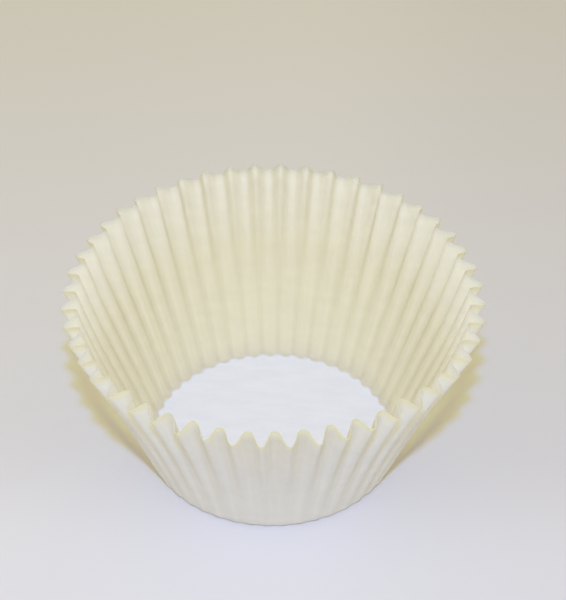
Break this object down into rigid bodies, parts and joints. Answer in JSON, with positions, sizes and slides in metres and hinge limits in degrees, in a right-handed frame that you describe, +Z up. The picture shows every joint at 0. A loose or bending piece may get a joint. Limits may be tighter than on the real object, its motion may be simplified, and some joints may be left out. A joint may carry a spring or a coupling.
{
  "type": "cupcake liner",
  "caption": "Fluted paper baking cup with a flat round base and a flared, pleated wall open at the top.",
  "frame": {"origin": "middle of the base, on the surface that the liner stands on", "axes": "+Z up along the axis of the cup, towards its open rim; +X through a ridge of the fluted wall"},
  "size_m": [0.0826, 0.0826, 0.0394],
  "materials": {
    "paper": "matte"
  },
  "bodies": {
    "root": {"liner": "paper"}
  },
  "joints": []
}
